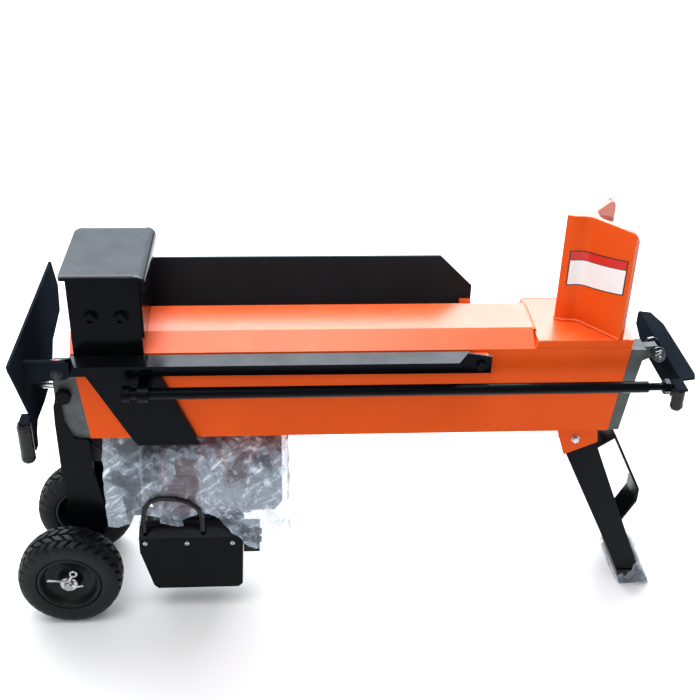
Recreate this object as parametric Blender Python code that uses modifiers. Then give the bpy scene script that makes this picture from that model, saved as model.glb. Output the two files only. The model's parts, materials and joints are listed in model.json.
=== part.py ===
"""Horizontal electric log splitter: box beam, fixed wedge, saddle pusher on an enclosed ram."""
import bpy
import bmesh
from math import cos, sin, pi, radians
from mathutils import Matrix, Vector

for old in list(bpy.data.objects):
    bpy.data.objects.remove(old, do_unlink=True)

# ---- driving dimensions, millimetres in the beam's own frame -------------------------------------
# x runs along the beam from the pusher end, y away from the operator's side, z up from the beam floor
MM = 0.001
X_ORIGIN = 349.5
Y_ORIGIN = 71.0
Y_MID = 59.0
GROUND = -288.0
BEAM_W = 118.0
SIDE_H = 128.0
TOP_H = 145.0
SHOULDER = 26.0
WALL = 4.0
LEFT_FOOT_X = 14.0
RIGHT_FOOT_X = 697.0
END_SLOPE = 0.108
BASE_X0 = 585.0
GAP = 0.3
PLATE = 4.8
WHEEL_R = 71.0
AXLE_X = -32.0
AXLE_Z = GROUND + WHEEL_R
MOTOR_Z = -95.0
MOTOR_R = 60.0
BARREL_Z = 64.0
ROD_Y = -31.0
ROD_Z = 88.0

main = bpy.data.collections.new("log_splitter")
tools = bpy.data.collections.new("log_splitter_cutters")
bpy.context.scene.collection.children.link(main)
bpy.context.scene.collection.children.link(tools)


def material(name, colour, rough, metal):
    m = bpy.data.materials.new(name)
    m.use_nodes = True
    b = m.node_tree.nodes["Principled BSDF"]
    b.inputs["Base Color"].default_value = (*colour, 1.0)
    b.inputs["Roughness"].default_value = rough
    b.inputs["Metallic"].default_value = metal
    return m


ORANGE = ((0.78, 0.13, 0.02), 0.35, 0.0)
BLACK = ((0.012, 0.012, 0.013), 0.3, 0.0)
GREY = ((0.16, 0.18, 0.17), 0.55, 0.6)
DARK = ((0.035, 0.037, 0.04), 0.55, 0.3)
STEEL = ((0.45, 0.45, 0.46), 0.35, 1.0)
CHROME = ((0.7, 0.7, 0.72), 0.12, 1.0)
RUBBER = ((0.02, 0.021, 0.022), 0.85, 0.0)
PLASTIC = ((0.015, 0.015, 0.016), 0.5, 0.0)
MAROON = ((0.16, 0.03, 0.03), 0.45, 0.0)
GREEN = ((0.05, 0.4, 0.1), 0.4, 0.0)
RED = ((0.6, 0.03, 0.02), 0.4, 0.0)
NYLON = ((0.75, 0.74, 0.7), 0.55, 0.0)
FILM = ((0.8, 0.82, 0.84), 0.2, 0.0)


def world(p):
    return Vector(((p[0] - X_ORIGIN) * MM, (p[1] - Y_ORIGIN) * MM, (p[2] - GROUND) * MM))


def finish(name, bm, look, at, smooth=False, cutter=False):
    bmesh.ops.recalc_face_normals(bm, faces=bm.faces)
    mesh = bpy.data.meshes.new(name)
    bm.to_mesh(mesh)
    bm.free()
    obj = bpy.data.objects.new(name, mesh)
    obj.location = world(at)
    if smooth:
        mesh.shade_smooth()
        mesh.set_sharp_from_angle(angle=radians(32))
    if cutter:
        tools.objects.link(obj)
        obj.hide_render = True
        obj.display_type = "WIRE"
    else:
        main.objects.link(obj)
        mesh.materials.append(material(name + "_mat", *look))
    return obj


def place(axis, a, u, v):
    if axis == "X":
        return (a, u, v)
    if axis == "Y":
        return (u, a, v)
    return (u, v, a)


def local(p, at):
    return [(p[i] - at[i]) * MM for i in range(3)]


# a shape is drawn with its own z along one of these axes, then turned to it
TURN = {
    "X": Matrix(((0, 0, 1), (1, 0, 0), (0, 1, 0))).to_4x4(),
    "Y": Matrix(((0, 1, 0), (0, 0, 1), (1, 0, 0))).to_4x4(),
    "Z": Matrix.Identity(4),
}


def solid_from(shape, name, look, at, smooth, cutter):
    """The drawn shape as a closed mesh object with its origin at a given place; the drawing is removed."""
    tools.objects.link(shape)
    bpy.context.view_layer.update()
    graph = bpy.context.evaluated_depsgraph_get()
    mesh = bpy.data.meshes.new_from_object(shape.evaluated_get(graph))
    mesh.transform(Matrix.Translation(-world(at)) @ shape.matrix_world)
    bm = bmesh.new()
    bm.from_mesh(mesh)
    bmesh.ops.remove_doubles(bm, verts=bm.verts, dist=0.000002)
    bpy.data.objects.remove(shape, do_unlink=True)
    bpy.data.meshes.remove(mesh)
    return finish(name, bm, look, at, smooth=smooth, cutter=cutter)


def prism(name, pts, axis, lo, hi, look=None, at=None, inner=None, cutter=False):
    """A flat outline, with an optional hole in it, thickened from lo to hi along an axis."""
    at = at or place(axis, lo, pts[0][0], pts[0][1])
    curve = bpy.data.curves.new(name + "_outline", "CURVE")
    curve.dimensions = "2D"
    curve.fill_mode = "BOTH"
    curve.extrude = (hi - lo) / 2 * MM
    for loop in (pts, inner) if inner else (pts,):
        spline = curve.splines.new("POLY")
        spline.points.add(len(loop) - 1)
        spline.use_cyclic_u = True
        for point, (u, v) in zip(spline.points, loop):
            flat = (v, u) if axis == "Y" else (u, v)
            point.co = (flat[0] * MM, flat[1] * MM, 0.0, 1.0)
    shape = bpy.data.objects.new(name + "_outline", curve)
    shape.matrix_world = Matrix.Translation(world(place(axis, (lo + hi) / 2, 0, 0))) @ TURN[axis]
    return solid_from(shape, name, look, at, False, cutter)


def block(name, x, y, z, look=None, at=None, cutter=False):
    at = at or (x[0], y[0], z[0])
    bm = bmesh.new()
    bmesh.ops.create_cube(bm, size=1.0)
    sides = [(hi - lo) * MM for lo, hi in (x, y, z)]
    bmesh.ops.scale(bm, vec=sides, verts=bm.verts)
    middle = local([(lo + hi) / 2 for lo, hi in (x, y, z)], at)
    bmesh.ops.translate(bm, vec=middle, verts=bm.verts)
    return finish(name, bm, look, at, cutter=cutter)


def lathe(name, profile, axis, centre, look=None, seg=32, closed=False, at=None, cutter=False):
    """A turned shape: profile holds (position along axis from the centre, radius), closed for a ring."""
    at = at or centre
    pts = list(profile) if closed else [(profile[0][0], 0), *profile, (profile[-1][0], 0)]
    edges = [(i, i + 1) for i in range(len(pts) - 1)]
    if closed:
        edges.append((len(pts) - 1, 0))
    mesh = bpy.data.meshes.new(name + "_profile")
    mesh.from_pydata([(r * MM, 0, a * MM) for a, r in pts], edges, [])
    shape = bpy.data.objects.new(name + "_profile", mesh)
    shape.matrix_world = Matrix.Translation(world(centre)) @ TURN[axis]
    screw = shape.modifiers.new("turned", "SCREW")
    screw.axis = "Z"
    screw.steps = seg
    screw.render_steps = seg
    screw.use_merge_vertices = True
    screw.merge_threshold = 0.00001
    return solid_from(shape, name, look, at, True, cutter)


def sweep(name, path, radius, look, at=None):
    """A round cable through a list of points."""
    at = at or path[0]
    curve = bpy.data.curves.new(name + "_route", "CURVE")
    curve.dimensions = "3D"
    curve.bevel_depth = radius * MM
    curve.bevel_resolution = 3
    curve.use_fill_caps = True
    spline = curve.splines.new("POLY")
    spline.points.add(len(path) - 1)
    for point, p in zip(spline.points, path):
        point.co = (*local(p, at), 1.0)
    shape = bpy.data.objects.new(name + "_route", curve)
    shape.matrix_world = Matrix.Translation(world(at))
    return solid_from(shape, name, look, at, True, False)


def combine(obj, tool, operation):
    m = obj.modifiers.new(operation.lower(), "BOOLEAN")
    m.operation = operation
    m.solver = "EXACT"
    m.object = tool


def hole(obj, axis, centre, radius, lo, hi, seg=24):
    tool = lathe(obj.name + "_hole", [(lo, radius), (hi, radius)], axis, centre, seg=seg, cutter=True)
    combine(obj, tool, "DIFFERENCE")


def add(obj, tool):
    combine(obj, tool, "UNION")


def left_x(z):
    return LEFT_FOOT_X - END_SLOPE * z


def right_x(z):
    return RIGHT_FOOT_X + END_SLOPE * z


# ---- beam ----------------------------------------------------------------------------------------
def hex_outline(inset):
    w, h = BEAM_W - inset, TOP_H - inset
    s = SIDE_H - inset * 0.55
    k = SHOULDER + inset * 0.3
    return [(inset, inset), (w, inset), (w, s), (BEAM_W - k, h), (k, h), (inset, s)]


foot = (LEFT_FOOT_X, 0, 0)
beam = prism("beam_tube", hex_outline(0), "X", -4, 716, ORANGE, at=foot, inner=hex_outline(WALL))
below, above = -30, 170
left_end = [(-60, below), (left_x(below), below), (left_x(above), above), (-60, above)]
right_end = [(right_x(below), below), (780, below), (780, above), (right_x(above), above)]
for tag, outline in (("left", left_end), ("right", right_end)):
    end_cut = prism("end_cut_" + tag, outline, "Y", -10, BEAM_W + 10, cutter=True)
    combine(beam, end_cut, "DIFFERENCE")
roof_cut = block("roof_cut", (BASE_X0, 800), (-20, 140), (SIDE_H, 200), cutter=True)
combine(beam, roof_cut, "DIFFERENCE")
slot_cut = block("slot_cut", (92, 440), (43, 75), (-10, 12), cutter=True)
combine(beam, slot_cut, "DIFFERENCE")

top = SIDE_H + GAP
base_z = 139.0
base = [(BASE_X0 + GAP, top), (right_x(top) - 0.5, top), (right_x(base_z), base_z), (BASE_X0 + 3.5, base_z)]
prism("beam_base_plate", base, "Y", 0.3, BEAM_W - 0.3, ORANGE)

# wedge: central blade opening into two flared wings
nose, wing_x, mouth_x = 620.0, 692.0, 699.0
wedge_pts = [(nose, 59), (630, 53.5), (648, 53.5), (wing_x, -1), (mouth_x, 5), (661, 49),
             (661, 69), (mouth_x, 113), (wing_x, 119), (648, 64.5), (630, 64.5)]
wedge = prism("wedge", wedge_pts, "Z", base_z + GAP, 287, ORANGE)
for side, y0, y1 in (("near", -20, 12), ("far", 106, 140)):
    corner = prism("wing_corner_" + side, [(686, 298), (706, 298), (706, 268)], "Y", y0, y1, cutter=True)
    combine(wedge, corner, "DIFFERENCE")


def filler_top(x):
    return 279 - 0.64 * (x - 662.5)


filler = prism("wedge_filler", [(662.5, 49.6), (694, 12), (694, 106), (662.5, 68.4)], "Z", 250, 282, ORANGE)
high, low = filler_top(658), filler_top(700)
slab = [(658, high), (700, low), (700, low - 5), (658, high - 5)]
combine(filler, prism("filler_slab", slab, "Y", 0, BEAM_W, cutter=True), "INTERSECT")

# end castings: a full-width foot, a tall near-side post, a plug inside the tube and the lever's pin
PIN_L = (-14, 0, 112)
PIN_R = (746, 0, 118)
SPOOL = (0, 30, 66)
cast_l = prism("end_casting_left", [(-25.6, 0), (left_x(0) - GAP, 0), (left_x(58) - GAP, 58), (-25.6, 58)],
               "Y", 1, 117, GREY)
post = [(-25.6, 50), (left_x(50) - GAP, 50), (left_x(118) - GAP, 118), (-19, 118), (-25.6, 111)]
add(cast_l, prism("post_left", post, "Y", 1, 40, cutter=True))
slope = prism("post_slope", [(8, 118.5), (45, 90), (45, 125), (8, 125)], "X", -40, 1.8, cutter=True)
combine(cast_l, slope, "DIFFERENCE")
add(cast_l, prism("plug_left", hex_outline(WALL + 0.6), "X", 2, 15.6, cutter=True))
add(cast_l, lathe("pin_left", [(-22, 5), (7, 5)], "Y", PIN_L, cutter=True))
hole(cast_l, "X", SPOOL, 6.4, -40, 2.5)
cast_r = prism("end_casting_right", [(right_x(0) + GAP, 0), (712, 0), (720, 60), (right_x(60) + GAP, 60)],
               "Y", 1, 117, GREY)
post = [(right_x(50) + GAP, 50), (718.6, 50), (730, 124), (right_x(124) + GAP, 124)]
add(cast_r, prism("post_right", post, "Y", 1, 30, cutter=True))
add(cast_r, block("plug_right", (696, 708), (4.6, 113.4), (4.6, 125), cutter=True))
lug = [(720, 98), (746, 111), (753, 118), (746, 125.5), (724, 123.9)]
add(cast_r, prism("pivot_lug_right", lug, "Y", 8, 20, cutter=True))
add(cast_r, lathe("pin_right", [(-1, 4.5), (28, 4.5)], "Y", PIN_R, cutter=True))

# ---- guards --------------------------------------------------------------------------------------
guard = prism("near_guard", [(-24, 102), (528, 100), (528, 124), (500, 129), (2, 129), (-24, 121)],
              "Y", -12, -9, BLACK)
flange = prism("near_flange", [(2, -9), (499, -9), (482, -37), (12, -37)], "Z", 127.6, 130.6, cutter=True)
add(guard, flange)
hole(guard, "Y", PIN_L, 5.4, -20, 0)
prism("far_guard", [(-18, 121), (521, 121), (521, 153), (476, 198), (-18, 198)], "Y", 127.6, 130.6, BLACK)
ear = block("ear_near_left", (-24, -3), (-8.7, 0.7), (102, 120), ORANGE)
hole(ear, "Y", PIN_L, 5.4, -20, 4)
block("ear_near_right", (505, 524), (-8.7, -0.3), (98, 124), ORANGE)
block("ear_far_left", (-17, -4), (117.3, 127.3), (122, 140), ORANGE)
block("ear_far_right", (505, 520), (118.3, 127.3), (100, 134), ORANGE)
for tag, x, y, z in (("left", -14, -22.4, 112), ("right", 515, -12.3, 112)):
    head = [(y - 5.4, 4.2), (y - 4.6, 5.4), (y - 1.2, 5.4), (y - 1.2, 7.2), (y, 7.2)]
    lathe("guard_bolt_" + tag, head, "Y", (x, 0, z), BLACK, seg=24)

# ---- pusher and ram ------------------------------------------------------------------------------
side = [(6, 234.5), (6, 128), (17, 98), (67, 3), (74, -9), (156, -9), (150, 4), (126, 62), (110, 97),
        (92, 127), (92, 234.5)]
prism("side_plate_near", side, "Y", -0.6 - PLATE, -0.6, BLACK)
prism("side_plate_far", side, "Y", BEAM_W + 0.6, BEAM_W + 0.6 + PLATE, BLACK)
channel = [(6, 150), (11, 150), (11, 229), (86, 229), (86, 150), (94, 150), (94, 232), (91.5, 234.5),
           (6, 234.5)]
prism("push_block", channel, "Y", 0, BEAM_W, BLACK)
cap_out = [(-1, 240), (92, 240), (97, 238.6), (100.6, 234.5), (102, 229), (102, 221), (98, 221)]
cap_in = [(98, 228.5), (97.4, 232), (96, 234.2), (94.4, 235), (-1, 235)]
prism("pusher_cap", cap_out + cap_in, "Y", -12, 132, BLACK)
block("slide_pad", (8, 92), (30, 88), (TOP_H + GAP, 149.7), NYLON)
block("saddle_plate", (76, 152), (-0.3, BEAM_W + 0.3), (-9, -4.5), BLACK)
block("drive_key", (100, 124), (46, 72), (-4.2, 33.5), STEEL)
lathe("ram_barrel", [(25, 25), (25, 30), (375, 30), (375, 0.5), (365, 0.5), (365, 25)], "X",
      (0, 59, BARREL_Z), STEEL, seg=32, closed=True)
lathe("ram_gland", [(26, 15.4), (26, 24.7), (46, 24.7), (46, 15.4)], "X", (0, 59, BARREL_Z), STEEL,
      closed=True)
lathe("piston_rod", [(16, 15), (362, 15)], "X", (0, 59, BARREL_Z), CHROME)
lathe("piston", [(347.5, 15.3), (347.5, 24.6), (361, 24.6), (361, 15.3)], "X", (0, 59, BARREL_Z), STEEL,
      closed=True)
cap_screw = [(-12.5, 4.5), (-9, 4.5), (-9, 0.5), (-8.4, 0.5), (-8.4, 0.4), (-5.7, 0.4), (-5.7, 9),
             (-10.5, 9), (-12.5, 7.8)]
for tag, x in (("a", 32), ("b", 68)):
    lathe("pusher_bolt_" + tag, cap_screw, "Y", (x, 0, 181), BLACK, seg=28, closed=True)
lug = block("rod_lug", (84, 98), (-24, -5.7), (79, 99), BLACK)
add(lug, lathe("rod_eye", [(84, 11.5), (98, 11.5)], "X", (0, ROD_Y, ROD_Z), cutter=True))
hole(lug, "X", (0, ROD_Y, ROD_Z), 8.0, 80, 102, seg=32)

# ---- levers and control rod ----------------------------------------------------------------------
pl = (-14, -19, 112)
arm_l = [(-56, 96), (-24, 103), (-4, 104), (1, 108), (1, 124), (-4, 128), (-24, 130), (-56, 130)]
lever_l = prism("left_lever", arm_l, "Y", -22, -16, BLACK, at=pl)
shield = [(-80, 159), (-77, 150), (-66, 133), (-18, 52), (-19, 10), (-16, -6), (-4, -6), (0, 12),
          (12, 23), (60, 20), (118, 24), (150, 62), (214, 74), (222, 110), (198, 159)]
shield_l = prism("shield_left", shield, "X", -57, -53.5, cutter=True)
add(lever_l, shield_l)
add(lever_l, block("grip_tab_left", (-66, -53.6), (-36, -14), (46.4, 49.6), cutter=True))
hole(lever_l, "Y", PIN_L, 5.3, -30, -10)
lathe("left_grip", [(0, 7), (3, 9), (54, 9), (58, 8)], "Z", (-61, -30, -12), RUBBER, seg=24, at=pl)

pr = (746, 14, 118)
shield = [(-32, 99), (-37, 93), (-37, 76), (-20, 60), (120, 60), (155, 76), (155, 93), (150, 99)]
lever_r = prism("right_lever", shield, "X", 769, 772, BLACK, at=pr)
flange = [(769, -32), (789, -28), (792, -18), (792, 112), (784, 146), (769, 150)]
add(lever_r, prism("shield_flange", flange, "Z", 96, 99, cutter=True))
link = [(738, 118), (742, 110), (769.6, 84), (769.6, 98.6), (764, 104), (752, 125), (742, 126)]
for y0 in (2.6, 20.4):
    add(lever_r, prism("link_right", link, "Y", y0, y0 + 5, cutter=True))
hole(lever_r, "Y", PIN_R, 4.8, -10, 40)
add(lever_r, block("grip_tab_right", (757.4, 771), (-56, -30), (96, 99), cutter=True))
lathe("right_grip", [(0, 6.5), (4, 8), (28, 8), (30, 7)], "Z", (763, -47.5, 65.7), RUBBER, seg=24, at=pr)
rod_profile = [(64, 5), (65, 10.5), (75, 10.5), (75, 7.5), (728, 7.5), (728, 5), (748, 5), (748, 8.5),
               (757, 8.5), (757, 4.5), (762, 4.5)]
lathe("control_rod", rod_profile, "X", (0, ROD_Y, ROD_Z), BLACK, seg=20)
lathe("valve_spool", [(-53.2, 6), (-9, 6)], "X", SPOOL, CHROME, seg=24)

# ---- wheels and left leg -------------------------------------------------------------------------
leg_l = block("left_leg", (-30, -26), (14, 104), (-150, 50), BLACK)
strap = [(-28, 53), (-22, 70), (-10, 70), (-18, 50), (-17, 27), (-7, 3), (12, -1), (12, -60), (-29, -60),
         (-29, 27)]
add(leg_l, prism("leg_strap", strap, "Y", -4, -0.6, cutter=True))
add(leg_l, lathe("leg_boss", [(-10.5, 9), (-9.5, 10), (-3, 10)], "Y", (-13, 0, 69), cutter=True))
add(leg_l, block("leg_step", (-28.5, 9), (-3.5, 17.5), (-60, -56), cutter=True))
flank = [(-30, -3), (10, -3), (9, -60), (22, -150), (-14, -228), (-24, -236), (-42, -236), (-50, -228),
         (-50, -205), (-30, -150)]
for tag, y0 in (("near", 14), ("far", 100)):
    add(leg_l, prism("leg_flank_" + tag, flank, "Y", y0, y0 + 4, cutter=True))
hole(leg_l, "Y", (AXLE_X, 0, AXLE_Z), 6.3, 0, 120)
lathe("axle", [(-45, 5), (-44, 6), (162, 6), (163, 5)], "Y", (AXLE_X, 0, AXLE_Z), STEEL, seg=24)
tyre = [(-20, 44), (-24, 50), (-25, 58), (-22.5, 65.5), (-16, 70), (-6, WHEEL_R), (6, WHEEL_R), (16, 70),
        (22.5, 65.5), (25, 58), (24, 50), (20, 44)]
rim = [(-19, 43.6), (-21, 43.6), (-21.5, 40.5), (-17, 38), (-8, 37), (-5, 22), (-10, 14), (-18, 13),
       (-18, 6.2), (18, 6.2), (18, 13), (6, 14), (1, 24), (-2, 36), (17, 38), (21.5, 40.5), (21, 43.6),
       (19, 43.6)]
for tag, yc in (("near", Y_MID - 75), ("far", Y_MID + 75)):
    s = 1 if tag == "near" else -1
    c = (AXLE_X, yc, AXLE_Z)
    lathe("tyre_" + tag, [(a * s, r) for a, r in tyre], "Y", c, RUBBER, seg=48, closed=True)
    lathe("rim_" + tag, [(a * s, r) for a, r in rim], "Y", c, PLASTIC, seg=40, closed=True)

# ---- right leg -----------------------------------------------------------------------------------
ear = [(630, -0.3), (687, -0.3), (690, -28), (646, -48)]
bracket = block("leg_ear_bracket", (630, 687), (12, 106), (-3.3, -0.3), ORANGE)
for tag, y0 in (("near", 12), ("far", 103)):
    add(bracket, prism("ear_side_" + tag, ear, "Y", y0, y0 + 3, cutter=True))
leg_side = [(636, -20), (682, -12), (732, -133), (786, -262), (753, -262)]
leg_back = [(681.7, -12.3), (731.7, -133), (785.7, -261.8), (782.3, -261.8), (728.5, -133.6), (678.5, -12.9)]
leg_r = prism("right_leg", leg_back, "Y", 17, 101, BLACK)
for tag, y0 in (("near", 15.4), ("far", 99.6)):
    add(leg_r, prism("leg_side_" + tag, leg_side, "Y", y0, y0 + 3, cutter=True))
hoop_out = [(700.1, -54), (725, -36.5), (773, -131), (773, -153), (755.8, -188)]
hoop_in = [(753.9, -183.5), (769.3, -152), (769.3, -132), (723.6, -41.6), (701.6, -57.6)]
prism("leg_handle", hoop_out + hoop_in, "Y", 38, 80, BLACK)
pad = [(752, -262.3), (790, -262.3), (802, GROUND + 6), (802, GROUND), (760, GROUND)]
prism("foot_pad", pad, "Y", 13, 105, RUBBER)

# ---- pump and motor ------------------------------------------------------------------------------
block("oil_manifold", (-8, 62), (30, 88), (-59, -0.4), DARK)
pump = block("pump_body", (20, 72), (25, 93), (-150, -59.4), DARK)
gear_z = MOTOR_Z - 25.0
for z in (MOTOR_Z, gear_z):
    hole(pump, "X", (0, 59, z), 14.4, 50, 80)
AXIS = (0, 59, MOTOR_Z)
bell = [(72.3, 8.4), (72.3, 34), (86, 58), (96, 58), (96, 55), (88, 54), (80, 20), (80, 8.4)]
lathe("end_bell", bell, "X", AXIS, DARK, closed=True, seg=40)
shell = [(96.3, 54), (96.3, MOTOR_R), (224, MOTOR_R), (224, 54)]
lathe("motor_housing", shell, "X", AXIS, MAROON, closed=True, seg=40)
cowl = [(224.3, 57.5), (224.3, 59.5), (250, 59.5), (259, 50), (259, 12), (257, 12), (257, 48.5), (249, 57.5)]
lathe("fan_cover", cowl, "X", AXIS, PLASTIC, closed=True, seg=40)
shaft = [(68, 8), (118, 8), (118, 36), (205, 36), (205, 8), (246, 8)]
lathe("rotor", shaft, "X", AXIS, STEEL, seg=28)


def gear(name, z, turn, bore):
    pts = []
    ins = []
    teeth = 10
    for k in range(teeth * 4):
        r = (13.9, 13.9, 10.4, 10.4)[k % 4]
        t = 2 * pi * (k + (0.25, -0.25, 0.15, -0.15)[k % 4] - 0.5) / (teeth * 4) + turn
        pts.append((59 + r * sin(t), z + r * cos(t)))
        ins.append((59 + bore * sin(t), z + bore * cos(t)))
    prism(name, pts, "X", 52, 66, STEEL, at=(52, 59, z), inner=ins)


gear("drive_gear", MOTOR_Z, 0.0, 4.0)
gear("driven_gear", gear_z, pi / 10, 4.0)
blade = block("fan", (229, 243), (57.5, 60.5), (MOTOR_Z - 50, MOTOR_Z + 50), PLASTIC, at=(236, 59, MOTOR_Z))
add(blade, block("fan_cross", (229, 243), (9, 109), (MOTOR_Z - 1.5, MOTOR_Z + 1.5), cutter=True))
add(blade, lathe("fan_hub", [(228, 15), (244, 15)], "X", AXIS, cutter=True))
hole(blade, "X", AXIS, 8.3, 220, 250)

# ---- switch box ----------------------------------------------------------------------------------
front = [(64.5, -182), (80, -243), (86, -249), (198, -249), (204, -243), (206, -182)]
front_in = [(67, -181), (82, -242), (87, -247), (197, -247), (202, -242), (203.5, -181)]
box = prism("switch_box", front, "Y", -15, 62, BLACK)
combine(box, prism("box_hollow", front_in, "Y", -13, 60, cutter=True), "DIFFERENCE")
lid_out = [(-17.5, -182), (-17.5, -156), (5, -143), (24, -160), (66, -168), (66, -180)]
lid_in = [(63.5, -180), (63.5, -170), (24, -162.3), (4.6, -145.5), (-15.3, -157.2), (-15.3, -182)]
prism("box_lid", lid_out + lid_in, "X", 65, 205.5, BLACK)
panel = block("button_housing", (207, 229), (-13, 22), (-187, -158), PLASTIC)
for tag, y, look in (("start", -4, GREEN), ("stop", 13, RED)):
    hole(panel, "X", (0, y, -172.5), 5.0, 218, 236)
    lathe(tag + "_button", [(221.5, 4.6), (231, 4.6), (232, 3.8)], "X", (0, y, -172.5), look, seg=20)

cable = [(73, -13, -147), (73, -13, -128), (76, -13, -108), (84, -13, -96), (98, -13, -91), (118, -13, -92),
         (136, -13, -98), (148, -13, -110), (152, -13, -126), (152, -13, -147)]
sweep("motor_cable", cable, 3.6, RUBBER)

# ---- clear transit film over the motor -----------------------------------------------------------
film = block("film_cover", (66, 266), (-7.5, 125.5), (-136, -16), FILM)
combine(film, block("film_hollow", (60, 265), (-6.5, 124.5), (-140, -17), cutter=True), "DIFFERENCE")
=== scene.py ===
"""Horizontal electric log splitter, seen from the operator's side on a pale floor."""
import bpy
import bmesh
import json
from math import sin, cos, pi, radians, sqrt
from mathutils import Vector, Matrix, noise


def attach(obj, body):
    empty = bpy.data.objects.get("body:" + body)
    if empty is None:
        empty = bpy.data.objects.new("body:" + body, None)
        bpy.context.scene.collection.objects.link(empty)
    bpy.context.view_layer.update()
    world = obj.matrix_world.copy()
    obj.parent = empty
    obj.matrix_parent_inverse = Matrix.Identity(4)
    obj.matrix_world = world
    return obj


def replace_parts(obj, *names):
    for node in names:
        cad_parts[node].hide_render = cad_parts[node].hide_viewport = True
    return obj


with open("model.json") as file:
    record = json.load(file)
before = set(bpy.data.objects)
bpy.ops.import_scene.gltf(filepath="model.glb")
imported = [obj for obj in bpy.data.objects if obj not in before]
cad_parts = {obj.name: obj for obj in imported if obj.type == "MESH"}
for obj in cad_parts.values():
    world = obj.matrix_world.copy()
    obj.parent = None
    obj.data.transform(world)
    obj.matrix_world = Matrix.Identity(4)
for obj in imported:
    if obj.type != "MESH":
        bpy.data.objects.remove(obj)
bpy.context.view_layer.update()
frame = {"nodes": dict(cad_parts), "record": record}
NODES = frame["nodes"]

# ---- the beam's own frame, in millimetres, as in the CAD -----------------------------------------
MM = 0.001
X_ORIGIN, Y_ORIGIN, GROUND = 349.5, 71.0, -288.0
BEAM_WIDTH = 118.0
BEAM_MID = BEAM_WIDTH / 2
WHEEL_AXIS = (-32, 0, -217)
MOTOR_Z = -95
CAP_SCREW_X, CAP_SCREW_Z = (32, 68), 181
LEFT_PIVOT = (-14, 0, 112)
RIGHT_PIVOT = (746, 0, 118)
GUARD_BOLT = (515, 0, 112)
ROD_AXIS = (0, -31, 88)
EAR_BOLT = (659, 0, -22)
LID_SCREWS = ((73, -165), (130, -166), (192, -167))


def P(x, y, z):
    return Vector(((x - X_ORIGIN) * MM, (y - Y_ORIGIN) * MM, (z - GROUND) * MM))


# ---- camera --------------------------------------------------------------------------------------
cam_data = bpy.data.cameras.new("camera")
cam = bpy.data.objects.new("camera", cam_data)
bpy.context.scene.collection.objects.link(cam)
cam_data.sensor_width = 36.0
cam_data.lens = 55.615
pitch, yaw, roll = radians(30.7), radians(4.2), radians(1.5)
forward = Vector((sin(yaw) * cos(pitch), cos(yaw) * cos(pitch), -sin(pitch)))
flat_right = Vector((cos(yaw), -sin(yaw), 0))
flat_up = flat_right.cross(forward)
right = flat_right * cos(roll) + flat_up * sin(roll)
up = flat_up * cos(roll) - flat_right * sin(roll)
turn = Matrix((right, up, -forward)).transposed()
cam.matrix_world = Matrix.Translation(P(262.6, -1167.5, 824.4)) @ turn.to_4x4()
bpy.context.scene.camera = cam


# ---- materials -----------------------------------------------------------------------------------
def new_mat(name):
    m = bpy.data.materials.new(name)
    m.use_nodes = True
    return m, m.node_tree, m.node_tree.nodes["Principled BSDF"]


def noise_tex(tree, coords, scale, detail=4.0, rough=0.55, distort=0.0):
    n = tree.nodes.new("ShaderNodeTexNoise")
    n.inputs["Scale"].default_value = scale
    n.inputs["Detail"].default_value = detail
    n.inputs["Roughness"].default_value = rough
    n.inputs["Distortion"].default_value = distort
    tree.links.new(coords, n.inputs["Vector"])
    return n.outputs["Fac"]


def coords(tree, stretch=(1, 1, 1)):
    tc = tree.nodes.new("ShaderNodeTexCoord")
    mp = tree.nodes.new("ShaderNodeMapping")
    mp.inputs["Scale"].default_value = stretch
    tree.links.new(tc.outputs["Object"], mp.inputs["Vector"])
    return mp.outputs["Vector"]


def remap(tree, value, lo, hi, a, b):
    """Eases a value from the range lo-hi to the range a-b."""
    n = tree.nodes.new("ShaderNodeMapRange")
    n.interpolation_type = "SMOOTHSTEP"
    n.inputs["From Min"].default_value = lo
    n.inputs["From Max"].default_value = hi
    n.inputs["To Min"].default_value = a
    n.inputs["To Max"].default_value = b
    tree.links.new(value, n.inputs["Value"])
    return n.outputs["Result"]


def mix(tree, fac, a, b):
    n = tree.nodes.new("ShaderNodeMix")
    n.data_type = "RGBA"
    for key, v in (("A", a), ("B", b)):
        sock = [s for s in n.inputs if s.name == key and s.type == "RGBA"][0]
        if isinstance(v, (tuple, list)):
            sock.default_value = (*v[:3], 1.0)
        else:
            tree.links.new(v, sock)
    f = [s for s in n.inputs if s.name == "Factor" and s.type == "VALUE"][0]
    tree.links.new(fac, f)
    return [s for s in n.outputs if s.type == "RGBA"][0]


def math(tree, op, a, b):
    n = tree.nodes.new("ShaderNodeMath")
    n.operation = op
    for i, v in enumerate((a, b)):
        if isinstance(v, (int, float)):
            n.inputs[i].default_value = v
        else:
            tree.links.new(v, n.inputs[i])
    return n.outputs[0]


def bump(tree, height, strength, distance, normal=None):
    n = tree.nodes.new("ShaderNodeBump")
    n.inputs["Strength"].default_value = strength
    n.inputs["Distance"].default_value = distance
    tree.links.new(height, n.inputs["Height"])
    if normal:
        tree.links.new(normal, n.inputs["Normal"])
    return n.outputs["Normal"]


def up_facing(tree, low=0.5, high=0.98):
    g = tree.nodes.new("ShaderNodeNewGeometry")
    s = tree.nodes.new("ShaderNodeSeparateXYZ")
    tree.links.new(g.outputs["Normal"], s.inputs[0])
    return remap(tree, s.outputs["Z"], low, high, 0.0, 1.0)


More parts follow.
